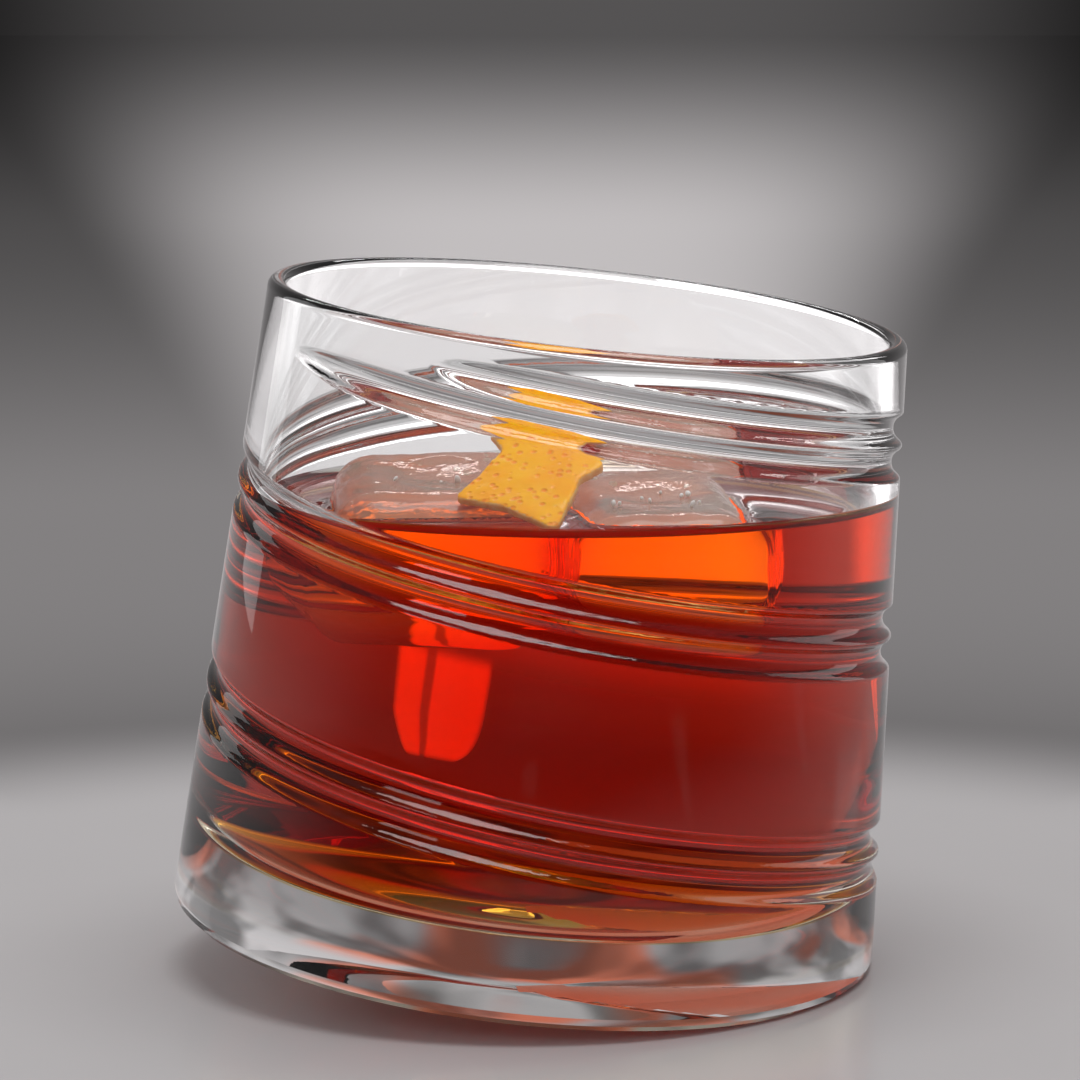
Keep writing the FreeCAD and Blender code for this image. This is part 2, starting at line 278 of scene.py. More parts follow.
def tumbler_place():
    """Turns the tumbler's own upright frame into the standing one."""
    t = settings("tumbler")
    lean = Vector((math.cos(t.lean_towards), math.sin(t.lean_towards), 0))
    turn = Matrix.Rotation(t.lean, 4, Vector((0, 0, 1)).cross(lean))
    angles = np.linspace(0, math.tau, 721)
    rings = [(point.x, point.y) for point in base_outline() + lip_outline()]
    low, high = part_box("glass")
    place = Vector((0, 0, t.base_radius * math.sin(t.lean) - t.rest_flat))
    for index in (0, 1):
        row = np.array(turn)[index]
        reach = [row[0] * radius * np.cos(angles) + row[1] * radius * np.sin(angles) + row[2] * height
                 for radius, height in rings]
        place[index] = (low[index] + high[index]) / 2 - (np.max(reach) + np.min(reach)) / 2
    return Matrix.Translation(place) @ turn


def base_outline():
    """The foot: from the middle of the underside round its two narrow facets to the wall."""
    t = settings("tumbler")
    drop = t.base_radius * math.tan(t.lean)
    underside = Vector((t.base_radius, drop)).normalized()
    tip = Vector((0, -drop))
    first = Vector((t.base_radius, 0)) - underside * FACET_REACH * MM
    return [tip] + stretch(tip, first, 10) + [
        Vector((t.base_radius - FACET_IN * MM, FACET_UP * MM)),
        Vector((outer_radius(FACET_TOP * MM), FACET_TOP * MM)),
    ]


def lip_outline():
    """The fully rounded lip, from the outside wall over to the inside wall."""
    t = settings("tumbler")
    rounding = LIP_ROUNDING * t.lip_thickness
    top = t.wall_height
    outside, inside = (t.rim_radius, top), (t.rim_radius - t.lip_thickness, top)
    return (arc_corner((outer_radius(0), 0), outside, inside, rounding, 8)
            + arc_corner(outside, inside, (inner_radius(t.floor_thickness), t.floor_thickness), rounding, 8))


# ---------------------------------------------------------------- modelling helpers


def deselect():
    """Object mode with nothing selected."""
    if bpy.context.mode != "OBJECT":
        bpy.ops.object.mode_set(mode="OBJECT")
    bpy.ops.object.select_all(action="DESELECT")


def select_only(*pieces):
    """Selects these pieces, with the last one active."""
    deselect()
    for piece in pieces:
        piece.select_set(True)
        bpy.context.view_layer.objects.active = piece


def open_mesh(piece, action="SELECT"):
    """Edit mode, with everything selected, or nothing for the action DESELECT."""
    select_only(piece)
    bpy.ops.object.mode_set(mode="EDIT")
    bpy.ops.mesh.select_all(action=action)


def close_mesh():
    bpy.ops.object.mode_set(mode="OBJECT")


def select_faces(piece, wanted):
    """Selects the faces that pass a test, in edit mode."""
    shape = bmesh.from_edit_mesh(piece.data)
    for face in shape.faces:
        face.select = wanted(face)
    bmesh.update_edit_mesh(piece.data)


def draw_outline(name, points):
    """A line through (radius, height) points in the XZ plane, drawn by extruding one point."""
    deselect()
    bpy.ops.mesh.primitive_plane_add(size=MM, location=(0, 0, 0))
    piece = bpy.context.object
    piece.name = piece.data.name = name
    bpy.ops.object.mode_set(mode="EDIT")
    bpy.ops.mesh.select_all(action="SELECT")
    bpy.ops.mesh.merge(type="CENTER")
    bpy.ops.transform.translate(value=(points[0].x, 0, points[0].y))
    for before, after in zip(points, points[1:]):
        step = after - before
        bpy.ops.mesh.extrude_region_move(TRANSFORM_OT_translate={"value": (step.x, 0, step.y)})
    return piece


def spin_outline(columns):
    """Turns the outline that has just been drawn into a closed surface about the Z axis."""
    bpy.ops.mesh.select_all(action="SELECT")
    bpy.ops.mesh.spin(steps=columns, angle=math.tau, center=(0, 0, 0), axis=(0, 0, 1))
    bpy.ops.mesh.select_all(action="SELECT")
    bpy.ops.mesh.remove_doubles(threshold=0.004 * MM)
    bpy.ops.mesh.normals_make_consistent(inside=False)
    close_mesh()


def points_of(piece):
    """The points of a mesh, one row each."""
    flat = np.empty(len(piece.data.vertices) * 3)
    piece.data.vertices.foreach_get("co", flat)
    return flat.reshape(-1, 3)


def set_points(piece, points):
    piece.data.vertices.foreach_set("co", np.ascontiguousarray(points, dtype=np.float64).ravel())
    piece.data.update()


def push_out(piece, reach):
    """Moves the surface along its normals, by one reach or by one for each point."""
    normals = np.array([vertex.normal for vertex in piece.data.vertices])
    set_points(piece, points_of(piece) + normals * np.reshape(reach, (-1, 1)))


def roughen(piece, coarse, fine, shift=(0, 0, 0)):
    """Two sizes of uneven waves, each given as its height and its waves per metre."""
    shift = Vector(shift)
    push_out(piece, [coarse[0] * noise.noise(Vector(point) * coarse[1] + shift)
                     + fine[0] * noise.noise(Vector(point) * fine[1] + shift) for point in points_of(piece)])


def place_mesh(piece, matrix):
    """Moves the mesh and leaves the object at the origin."""
    piece.matrix_world = matrix
    select_only(piece)
    bpy.ops.object.transform_apply(location=True, rotation=True, scale=True)


def apply_modifier(piece, kind, **values):
    """Adds a modifier with these values and applies it."""
    select_only(piece)
    modifier = piece.modifiers.new(kind.title(), kind)
    for key, value in values.items():
        setattr(modifier, key, value)
    bpy.ops.object.modifier_apply(modifier=modifier.name)


def copy_of_node(node, name):
    """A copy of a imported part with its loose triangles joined."""
    source = FRAME["nodes"][node]
    piece = bpy.data.objects.new(name, source.data.copy())
    piece.data.name = name
    bpy.context.scene.collection.objects.link(piece)
    piece.data.materials.clear()
    open_mesh(piece)
    bpy.ops.mesh.remove_doubles(threshold=0.002 * MM)
    close_mesh()
    if piece.data.has_custom_normals:
        bpy.ops.mesh.customdata_custom_splitnormals_clear()
    return piece


def finish_piece(piece, node):
    """Smooths a piece, hides the part it stands for, and fixes it to the body it rides on."""
    select_only(piece)
    bpy.ops.object.shade_smooth()
    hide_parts(node)
    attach(piece, BODY)


# ---------------------------------------------------------------- node helpers


def connect(tree, made, **inputs):
    """Sets or links inputs of a node. Underscores stand for spaces, and i6 for the input numbered 6."""
    for key, value in inputs.items():
        socket = made.inputs[int(key[1:])] if key[1:].isdigit() else made.inputs[key.replace("_", " ")]
        if isinstance(value, bpy.types.NodeSocket):
            tree.links.new(value, socket)
        else:
            socket.default_value = value
    return made


def node(tree, kind, attributes=None, **inputs):
    """Adds a node with these attributes and inputs."""
    made = tree.nodes.new(kind)
    for key, value in (attributes or {}).items():
        setattr(made, key, value)
    return connect(tree, made, **inputs)


def math_node(tree, operation, *values, clamp=False):
    """One step of arithmetic on up to three values."""
    inputs = {f"i{index}": value for index, value in enumerate(values)}
    return node(tree, "ShaderNodeMath", {"operation": operation, "use_clamp": clamp}, **inputs).outputs[0]


def times(tree, *values):
    """The product of two or more values."""
    product = values[0]
    for value in values[1:]:
        product = math_node(tree, "MULTIPLY", product, value)
    return product


def ease(tree, value, edges, levels):
    """Runs smoothly from the first level at the first edge to the second level at the second edge."""
    return node(tree, "ShaderNodeMapRange", {"interpolation_type": "SMOOTHSTEP"}, Value=value,
                From_Min=edges[0], From_Max=edges[1], To_Min=levels[0], To_Max=levels[1]).outputs["Result"]


def fade(tree, value, edges, full=1.0):
    """Rises from 0 at the first edge to full at the second."""
    return ease(tree, value, edges, (0.0, full))


def cloudy(tree, place, size, detail, **inputs):
    """Noise with this many waves per metre and this much finer detail."""
    return node(tree, "ShaderNodeTexNoise", Vector=place, Scale=size, Detail=detail, **inputs).outputs["Fac"]


def mixed(tree, factor, none, full):
    """A colour between two."""
    return node(tree, "ShaderNodeMix", {"data_type": "RGBA"}, Factor=factor, i6=none, i7=full).outputs[2]


def bump_into(tree, shader, height, strength, distance):
    """Gives a shader small bumps of this height."""
    bump = node(tree, "ShaderNodeBump", Strength=strength, Distance=distance, Height=height)
    connect(tree, shader, Normal=bump.outputs["Normal"])


def new_group(name, inputs, outputs):
    """An empty shader node group with named inputs, given with their kinds and values, and named outputs."""
    group = bpy.data.node_groups.new(name, "ShaderNodeTree")
    for label, kind, value in inputs:
        socket = group.interface.new_socket(label, in_out="INPUT", socket_type=kind)
        if value is not None:
            socket.default_value = value
    for label, kind in outputs:
        group.interface.new_socket(label, in_out="OUTPUT", socket_type=kind)
    return group, group.nodes.new("NodeGroupInput"), group.nodes.new("NodeGroupOutput")


def place_group(tree, name, build, **inputs):
    """Places a shared group, which is built the first time."""
    group = bpy.data.node_groups.get(name) or build(name)
    return node(tree, "ShaderNodeGroup", {"node_tree": group}, **inputs).outputs


def new_material(name):
    """A material, its nodes, its shader and the Object coordinates."""
    material = bpy.data.materials.new(name)
    material.use_nodes = True
    tree = material.node_tree
    place = tree.nodes.new("ShaderNodeTexCoord").outputs["Object"]
    return material, tree, tree.nodes["Principled BSDF"], place


# ---------------------------------------------------------------- shared effects


def build_waves(name):
    """Low smooth waves, as left on poured glass and melted ice, with a finer set on top."""
    group, given, result = new_group(
        name, [("Vector", "NodeSocketVector", None), ("Size", "NodeSocketFloat", 60.0),
               ("Fine", "NodeSocketFloat", 0.2)], [("Height", "NodeSocketFloat")])
    place, size, fine = (given.outputs[label] for label in ("Vector", "Size", "Fine"))
    broad = cloudy(group, place, size, detail=1.0, Roughness=0.4)
    ripple = cloudy(group, place, times(group, size, 6.0), detail=2.0)
    connect(group, result, Height=math_node(group, "ADD", broad, times(group, ripple, fine)))
    return group


def build_specks(name):
    """Round specks scattered thinly. Share says how many of the places have one."""
    group, given, result = new_group(
        name, [("Vector", "NodeSocketVector", None), ("Size", "NodeSocketFloat", 900.0),
               ("Share", "NodeSocketFloat", 0.1), ("Width", "NodeSocketFloat", 0.3)],
        [("Mask", "NodeSocketFloat")])
    place, size, share, width = (given.outputs[label] for label in ("Vector", "Size", "Share", "Width"))
    cells = node(group, "ShaderNodeTexVoronoi", Vector=place, Scale=size).outputs
    number = node(group, "ShaderNodeSeparateColor", Color=cells["Color"]).outputs[0]
    chosen = math_node(group, "LESS_THAN", number, share)
    connect(group, result, Mask=times(group, chosen, fade(group, cells["Distance"], (width, 0.0))))
    return group


def build_round(name):
    """What lies round the object, by its direction from the middle.

    Lobe is light in each of eight directions and dark between them, Degrees is the angle from the nearest
    of the eight, Dark Front is dark towards -Y, and Behind is strongest towards +Y.
    """
    group, given, result = new_group(name, [("Vector", "NodeSocketVector", None)],
                                     [("Lobe", "NodeSocketFloat"), ("Degrees", "NodeSocketFloat"),
                                      ("Dark Front", "NodeSocketFloat"), ("Behind", "NodeSocketFloat")])
    parts = node(group, "ShaderNodeSeparateXYZ", Vector=given.outputs["Vector"]).outputs
    turn = math_node(group, "ARCTAN2", parts["X"], parts["Y"])
    wave = math_node(group, "COSINE", times(group, turn, 8.0))
    ahead = math_node(group, "COSINE", turn)
    shifted = math_node(group, "ADD", times(group, turn, 180 / math.pi), 22.5)
    connect(group, result, Lobe=fade(group, wave, (0.35, 1.0)),
            Degrees=math_node(group, "SUBTRACT", math_node(group, "FLOORED_MODULO", shifted, 45.0), 22.5),
            Dark_Front=ease(group, ahead, (-0.7, 0.2), (0.08, 1.0)),
            Behind=ease(group, ahead, (0.6, 0.95), (0.4, 1.0)))
    return group


def waves_into(tree, shader, place, size, fine, strength, distance):
    """Poured waves as bump on a shader, unless the strength is 0. Gives their height."""
    height = place_group(tree, "poured waves", build_waves, Vector=place, Size=size, Fine=fine)["Height"]
    if strength > 0:
        bump_into(tree, shader, height, strength, distance)
    return height


# ---------------------------------------------------------------- materials


def glass_material(name, wet):
    """Clear glass. Where the drink wets it, the index is that of the step between the two."""
    t, d = settings("tumbler"), settings("drink")
    material, tree, shader, place = new_material(name)
    waves_into(tree, shader, place, size=45.0, fine=0.02, strength=0.1, distance=0.5 * MM)
    dust = place_group(tree, "scattered specks", build_specks, Vector=place, Size=500.0, Share=0.02, Width=0.12)
    connect(tree, shader, Base_Color=mixed(tree, dust["Mask"], t.tint, (0.8, 0.8, 0.8, 1)), Roughness=0.0,
            IOR=t.ior / d.ior if wet else t.ior, Transmission_Weight=1.0)
    return material


def drink_material():
    """Takes its colour from the light that crosses it: orange where thin, deep red where thick."""
    d = settings("drink")
    material, tree, shader, place = new_material("red bitter drink")
    haze = mixed(tree, cloudy(tree, place, size=35.0, detail=2.0), WHITE, FAINT_ROSE)
    connect(tree, shader, Base_Color=haze, Roughness=0.0, IOR=1.0, Transmission_Weight=1.0, Specular_Tint=BLACK)
    volume = node(tree, "ShaderNodeVolumeAbsorption", Color=d.colour, Density=d.density)
    connect(tree, tree.nodes["Material Output"], Volume=volume.outputs["Volume"])
    return material


def surface_material(name, index, strength):
    """The bare surface of the drink, where it bends and mirrors light."""
    material, tree, shader, place = new_material(name)
    waves = waves_into(tree, shader, place, size=60.0, fine=0.05, strength=strength, distance=0.4 * MM)
    connect(tree, shader, Base_Color=mixed(tree, waves, WHITE, FAINT_ROSE), Roughness=0.0, IOR=index,
            Transmission_Weight=1.0)
    return material


def ice_material(name, sunk):
    """Melting ice: clear, with cloudy patches and a dimpled skin, coloured peach and orange by painted light that
    stands in for the glow of the drink. Under the level its skin doesn't show.
    """
    i = settings("ice")
    material, tree, shader, place = new_material(name)
    waves = waves_into(tree, shader, place, size=140.0, fine=0.35, strength=0.0 if sunk else 0.35,
                       distance=0.6 * MM)
    # painted light: the peach on the crests and the deeper orange in the hollows stand in for the glow the drink
    # throws on the ice; under the level the crests tint the light that passes
    connect(tree, shader, Base_Color=mixed(tree, waves, WHITE if sunk else i.stain_and_painted_glow, i.tint))
    if sunk:
        connect(tree, shader, Roughness=0.0, IOR=1.0, Transmission_Weight=1.0, Specular_Tint=BLACK)
    else:
        cloud = cloudy(tree, place, size=130.0, detail=4.0, Distortion=0.6)
        connect(tree, shader, Roughness=fade(tree, cloud, (0.55, 0.75), 0.15), IOR=i.ior, Transmission_Weight=0.7)
    return material


def zest_material():
    """Orange skin: pitted with oil glands, wet and glossy."""
    p = settings("peel")
    material, tree, shader, place = new_material("orange zest")
    pores = node(tree, "ShaderNodeTexVoronoi", {"feature": "SMOOTH_F1"}, Vector=place, Scale=820.0,
                 Smoothness=0.35)
    mottle = cloudy(tree, place, size=260.0, detail=3.0)
    pit = fade(tree, pores.outputs["Distance"], (0.10, 0.42))
    mix = times(tree, pit, ease(tree, mottle, (0.3, 0.7), (0.55, 1.0)))
    bump_into(tree, shader, math_node(tree, "ADD", pit, times(tree, mottle, 0.7)), strength=0.8,
              distance=0.22 * MM)
    connect(tree, shader, Base_Color=mixed(tree, mix, p.zest_deep, p.zest),
            Roughness=ease(tree, pit, (0.0, 1.0), (0.5, 0.3)), Specular_IOR_Level=0.2, Coat_Weight=0.12,
            Coat_Roughness=0.06, Subsurface_Weight=0.25, Subsurface_Radius=(1.0, 0.35, 0.05),
            Subsurface_Scale=1.2 * MM)
    return material


def pith_material():
    """Soaked white of the peel, spongy and matt."""
    p = settings("peel")
    material, tree, shader, place = new_material("orange pith")
    fibre = cloudy(tree, place, size=900.0, detail=5.0, Roughness=0.65)
    stain_and_painted_glow = fade(tree, fibre, (0.35, 0.7))
    bump_into(tree, shader, fibre, strength=0.6, distance=0.15 * MM)
    connect(tree, shader, Base_Color=mixed(tree, stain_and_painted_glow, p.pith, p.pith_stain),
            Roughness=ease(tree, stain_and_painted_glow, (0.0, 1.0), (0.55, 0.35)), Subsurface_Weight=0.35,
            Subsurface_Radius=(1.0, 0.5, 0.15), Subsurface_Scale=1.5 * MM)
    return material


# ---------------------------------------------------------------- stage

# light on the floor that shows only through the glass, each edge given as where it starts and is full:
# metres from the middle, or degrees from the nearest of the eight directions
RING_INNER, RING_OUTER, RING_SIDE = (0.18, 0.27), (0.52, 0.38), (17.0, 9.0)
WINDOW_INNER, WINDOW_OUTER = (0.100, 0.106), (0.200, 0.185)
WINDOW_LEFT, WINDOW_RIGHT = (5.0, 5.6), (14.5, 13.5)
WINDOW_BAR, BAR_EDGE, BAR_LEVELS = 10.5, (0.25, 0.7), (0.25, 1.0)
SIGHT_CROSSING = 0.093                  # the window's sides run towards a point this far behind the middle
PAINTED_CAUSTIC_EDGE = (0.062, 0.046)             # painted caustic: the floor right under the glass glows in the drink's colour, seen only through the glass
PAINTED_CAUSTIC_LIGHT, PAINTED_CAUSTIC_DEEP = (0.42, 0.20, 0.15, 1), (0.50, 0.10, 0.05, 1)
PAINTED_DRINK_LIGHT = (1.0, 0.22, 0.09, 1)             # painted light: red patches in the backdrop, seen only through the glass, that stand in for light coloured by the drink
EYE_HEIGHT = 0.12                       # over distance, it says how far the floor lies below the horizon
LOBE_SHARE, ROOM_LEVEL = 0.88, 0.168    # of the backdrop that is seen
CENTRE = (0.44 * MM, 0.06 * MM)         # what the camera looks at
LAMP_AIM = (0, 0, 0.05)

# name, place, width, height, watts
LAMPS = (("lamp.above", (0.05, -0.08, 0.85), 0.6, 0.45, 4.4),
         ("lamp.left", (-0.80, 0.62, 0.32), 0.30, 0.8, 0.7),
         ("lamp.right", (0.80, 0.50, 0.36), 0.30, 0.8, 0.7),
         ("lamp.back", (0.0, 0.72, 0.62), 0.7, 0.03, 0.7),
         ("lamp.front", (-0.55, -0.75, 0.55), 0.35, 0.35, 0.9))


def by_ray(tree, lighting=0.0, mirrored=0.0, passed=0.0, shown=0.0):
    """A value for each kind of ray: lighting a surface, mirrored by it, passed through it, or seen."""
    path = tree.nodes.new("ShaderNodeLightPath").outputs
    value = lighting
    for kind, other in (("Is Glossy Ray", mirrored), ("Is Transmission Ray", passed), ("Is Camera Ray", shown)):
        value = node(tree, "ShaderNodeMix", Factor=path[kind], A=value, B=other).outputs["Result"]
    return value


def face_towards(thing, point):
    """Turns a camera or a lamp to look at a point."""
    thing.rotation_euler = (Vector(point) - thing.location).to_track_quat("-Z", "Y").to_euler()


class NEGRONI_OT_stage(bpy.types.Operator):
    """Set the camera, the pale floor, the backdrop and the soft lamps"""

    bl_idname = "negroni.stage"
    bl_label = "Stage"

    def execute(self, context):
        self.add_camera(context)
        self.add_floor()
        self.add_world(context)
        self.add_lamps(context)
        context.scene.view_settings.view_transform = "Standard"
        context.scene.cycles.max_bounces = context.scene.cycles.transmission_bounces = 24
        return {"FINISHED"}

    def add_camera(self, context):
        s = settings("stage")
        data = bpy.data.cameras.new("camera")
        data.lens, data.sensor_width, data.clip_start = s.lens, 36.0, 0.01
        camera = bpy.data.objects.new("camera", data)
        context.scene.collection.objects.link(camera)
        camera.location = (CENTRE[0], -s.distance, s.camera_height)
        face_towards(camera, (*CENTRE, s.aim_height))
        context.scene.camera = camera

    def add_floor(self):
        """A plain floor near the glass, which fades into its own glow farther away, with a painted red caustic
        right under the glass.
        """
        s = settings("stage")
        deselect()
        bpy.ops.mesh.primitive_circle_add(vertices=128, radius=20.0, fill_type="NGON", location=(0, 0, 0))
        floor = bpy.context.object
        floor.name = floor.data.name = "floor"
        material, tree, shader, place = new_material("pale floor")
        darker = [channel * 0.97 for channel in s.floor_colour[:3]] + [1]
        grain = mixed(tree, cloudy(tree, place, size=30.0, detail=4.0), s.floor_colour, darker)
        connect(tree, shader, Base_Color=grain, Roughness=0.22)
        away = node(tree, "ShaderNodeVectorMath", {"operation": "LENGTH"}, Vector=place).outputs["Value"]
        around = place_group(tree, "round about", build_round, Vector=place)
        seen, faint, level = self.floor_glow(tree, away, around)
        window, added = self.floor_lights(tree, away, around)
        passed = times(tree, level, math_node(tree, "ADD", added, s.passed))
        through = by_ray(tree, passed=1.0)
        glow = node(tree, "ShaderNodeEmission", Color=s.backdrop,
                    Strength=by_ray(tree, mirrored=faint, passed=passed, shown=seen))
        edge = math_node(tree, "MAXIMUM", fade(tree, away, (0.115, 0.19)), times(tree, window, through),
                         clamp=True)
        far = times(tree, edge, by_ray(tree, mirrored=1.0, passed=1.0, shown=1.0))
        near_and_far = node(tree, "ShaderNodeMixShader", Fac=far, i1=shader.outputs["BSDF"],
                            i2=glow.outputs["Emission"])
        # painted caustic: a blotchy red glow on the floor right under the glass, seen only through the glass,
        # standing in for light that has crossed the drink
        blotches = fade(tree, cloudy(tree, place, size=38.0, detail=1.0), (0.3, 0.7))
        stain_and_painted_glow = node(tree, "ShaderNodeEmission", Color=mixed(tree, blotches, PAINTED_CAUSTIC_LIGHT, PAINTED_CAUSTIC_DEEP),
                     Strength=1.0)
        painted_caustic_mask = times(tree, fade(tree, away, PAINTED_CAUSTIC_EDGE), through)
        whole = node(tree, "ShaderNodeMixShader", Fac=painted_caustic_mask, i1=near_and_far.outputs["Shader"],
                     i2=stain_and_painted_glow.outputs["Emission"])
        connect(tree, tree.nodes["Material Output"], Surface=whole.outputs["Shader"])
        floor.data.materials.append(material)

    def floor_glow(self, tree, away, around):
        """How bright the floor is when seen, when mirrored, and through the glass. It darkens with distance."""
        dip = math_node(tree, "DIVIDE", EYE_HEIGHT, away)
        rise = ease(tree, dip, (0.8, 0.3), (0.68, 1.0))
        least = ease(tree, dip, (0.03, 0.25), (0.12, 0.42))
        tone = math_node(tree, "MULTIPLY_ADD", math_node(tree, "SUBTRACT", 1.0, least), around["Lobe"], least)
        seen = times(tree, rise, ease(tree, dip, (0.0, 0.07), (0.15, 1.0)), tone)
        level = times(tree, rise, ease(tree, dip, (0.03, 0.16), (0.6, 1.0)))
        return seen, times(tree, level, around["Dark Front"]), level

    def floor_lights(self, tree, away, around):
        """The window close behind the drink, and it together with the wide ring of light farther off."""
        s = settings("stage")
        degrees = around["Degrees"]
        ring = times(tree, fade(tree, away, RING_INNER, s.far_light), fade(tree, away, RING_OUTER),
                     around["Behind"])
        aside = fade(tree, math_node(tree, "ABSOLUTE", degrees), RING_SIDE)
        sideways = math_node(tree, "DIVIDE", times(tree, degrees, away),
                             math_node(tree, "SUBTRACT", away, SIGHT_CROSSING))
        from_bar = math_node(tree, "ABSOLUTE", math_node(tree, "SUBTRACT", sideways, WINDOW_BAR))
        pane = times(tree, fade(tree, sideways, WINDOW_LEFT), fade(tree, sideways, WINDOW_RIGHT),
                     ease(tree, from_bar, BAR_EDGE, BAR_LEVELS))
        length = times(tree, fade(tree, away, WINDOW_INNER, s.window), fade(tree, away, WINDOW_OUTER))
        window = times(tree, length, pane)
        return window, math_node(tree, "MULTIPLY_ADD", ring, aside, window)

    def add_world(self, context):
        """The backdrop: a dim grey room with a lighter lobe, and painted red patches, seen only through the glass,
        that stand in for light coloured by the drink.
        """
        s = settings("stage")
        world = bpy.data.worlds.new("studio")
        context.scene.world = world
        world.use_nodes = True
        tree = world.node_tree
        direction = tree.nodes.new("ShaderNodeTexCoord").outputs["Generated"]
        around = place_group(tree, "round about", build_round, Vector=direction)
        up = node(tree, "ShaderNodeSeparateXYZ", Vector=direction).outputs["Z"]
        dim = ease(tree, up, (-0.02, 0.5), (0.6, 0.3))
        seen = times(tree, math_node(tree, "MULTIPLY_ADD", LOBE_SHARE, around["Lobe"], 1 - LOBE_SHARE), ROOM_LEVEL)
        faint = times(tree, around["Dark Front"], dim)
        patches = ease(tree, cloudy(tree, direction, size=3.5, detail=2.0), (0.40, 0.60),
                       (0.35 * s.passed, 1.25 * s.passed))
        # painted light: red patches that only rays through the glass see, in place of light coloured by the drink
        painted_drink_light = times(tree, fade(tree, cloudy(tree, direction, size=2.6, detail=1.0), (0.46, 0.56), 0.85),
                     fade(tree, up, (0.12, 0.35)), by_ray(tree, passed=1.0))
        connect(tree, tree.nodes["Background"], Color=mixed(tree, painted_drink_light, s.backdrop, PAINTED_DRINK_LIGHT),
                Strength=by_ray(tree, lighting=0.8, mirrored=faint, passed=times(tree, dim, patches), shown=seen))

    def add_lamps(self, context):
        for name, place, width, height, power in LAMPS:
            data = bpy.data.lights.new(name, "AREA")
            data.shape, data.size, data.size_y, data.energy = "RECTANGLE", width, height, power
            lamp = bpy.data.objects.new(name, data)
            context.scene.collection.objects.link(lamp)
            lamp.location = place
            face_towards(lamp, LAMP_AIM)
            lamp.visible_camera = lamp.visible_transmission = False


# ---------------------------------------------------------------- tumbler


class NEGRONI_OT_tumbler(bpy.types.Operator):
    """Spin the leaning tumbler and cut its spiral"""

    bl_idname = "negroni.tumbler"
    bl_label = "Tumbler"

    def execute(self, context):
        t = settings("tumbler")
        foot, lip = base_outline(), lip_outline()
        inside = list(reversed(hollow_outline(0.0, t.wall_height)))[1:]
        outline = foot + stretch(foot[-1], lip[0], t.rows) + lip[1:] + stretch(lip[-1], inside[0], 4)[:-1] + inside
        glass = draw_outline("glass.tumbler", outline)
        spin_outline(t.columns)
        points = points_of(glass)
        radius, height = np.hypot(points[:, 0], points[:, 1]), points[:, 2]
        wall = (height > FACET_TOP * MM + NEAR) & (height < t.wall_height - LIP_DROP) & (
            radius > (outer_radius(height) + inner_radius(height)) / 2)
        depth = np.where(wall, groove_depth(np.arctan2(points[:, 1], points[:, 0]), height), 0.0)
        points[:, :2] *= ((radius + depth) / np.maximum(radius, 1e-9))[:, None]
        set_points(glass, points)
        self.mark_foot(glass)
        place = tumbler_place()
        place_mesh(glass, place)
        points = points_of(glass)
        points[:, 2] = np.maximum(points[:, 2], 0.0)  # ground flat where it rests
        set_points(glass, points)
        self.wet_inside(glass, place)
        finish_piece(glass, "glass")
        return {"FINISHED"}

    def mark_foot(self, glass):
        """The narrow facets of the foot keep crisp edges."""
        rings = [(point.x, point.y) for point in base_outline()[-3:]]
        open_mesh(glass, "DESELECT")
        shape = bmesh.from_edit_mesh(glass.data)
        for edge in shape.edges:
            ends = [(math.hypot(v.co.x, v.co.y), v.co.z) for v in edge.verts]
            edge.select = any(all(math.dist(end, ring) < NEAR for end in ends) for ring in rings)
        bmesh.update_edit_mesh(glass.data)
        bpy.ops.mesh.mark_sharp()
        close_mesh()

    def wet_inside(self, glass, place):
        """Parts the inside wall along the edge of the drink, and gives the wet part its own finish."""
        d = settings("drink")
        back = place.inverted()
        contact = drink_level() + d.meniscus
        for name, wet in (("clear glass", False), ("wet clear glass", True)):
            glass.data.materials.append(glass_material(name, wet))

        def is_inside(face):
            point = back @ face.calc_center_median()
            radius = math.hypot(point.x, point.y)
            return point.z > INSIDE_FROM and radius < inner_radius(point.z) + WALL_SLACK

        open_mesh(glass, "DESELECT")
        select_faces(glass, is_inside)
        bpy.ops.mesh.bisect(plane_co=(0, 0, contact), plane_no=(0, 0, 1))
        bpy.ops.mesh.select_all(action="DESELECT")
        shape = bmesh.from_edit_mesh(glass.data)
        for face in shape.faces:
            face.material_index = int(is_inside(face) and face.calc_center_median().z < contact)
        bmesh.update_edit_mesh(glass.data)
        close_mesh()


# ---------------------------------------------------------------- ice and peel

BUBBLE_MARGIN = (4.5 * MM, 4.5 * MM, 1.2 * MM)  # kept free at the sides and at the top and bottom
BUBBLE_LEAST, BUBBLE_SPREAD = 0.12, 0.35        # radius in mm
BUBBLE_DRAWN, BUBBLE_TILT = 1.6, 0.4            # most added height, and tilt in radians
SKIN_SLOPE = 0.45                               # faces that look up less than this show pith


def drink_level():
    """Height of the drink, measured from the middle of the lip."""
    t, d = settings("tumbler"), settings("drink")
    return (tumbler_place() @ Vector((0, 0, t.wall_height))).z - d.below_lip


def split_at(piece, height):
    """Parts the faces along a height, and gives those below it the second finish."""
    open_mesh(piece)
    bpy.ops.mesh.bisect(plane_co=(0, 0, height), plane_no=(0, 0, 1))
    close_mesh()
    for face in piece.data.polygons:
        face.material_index = int(face.center.z < height)


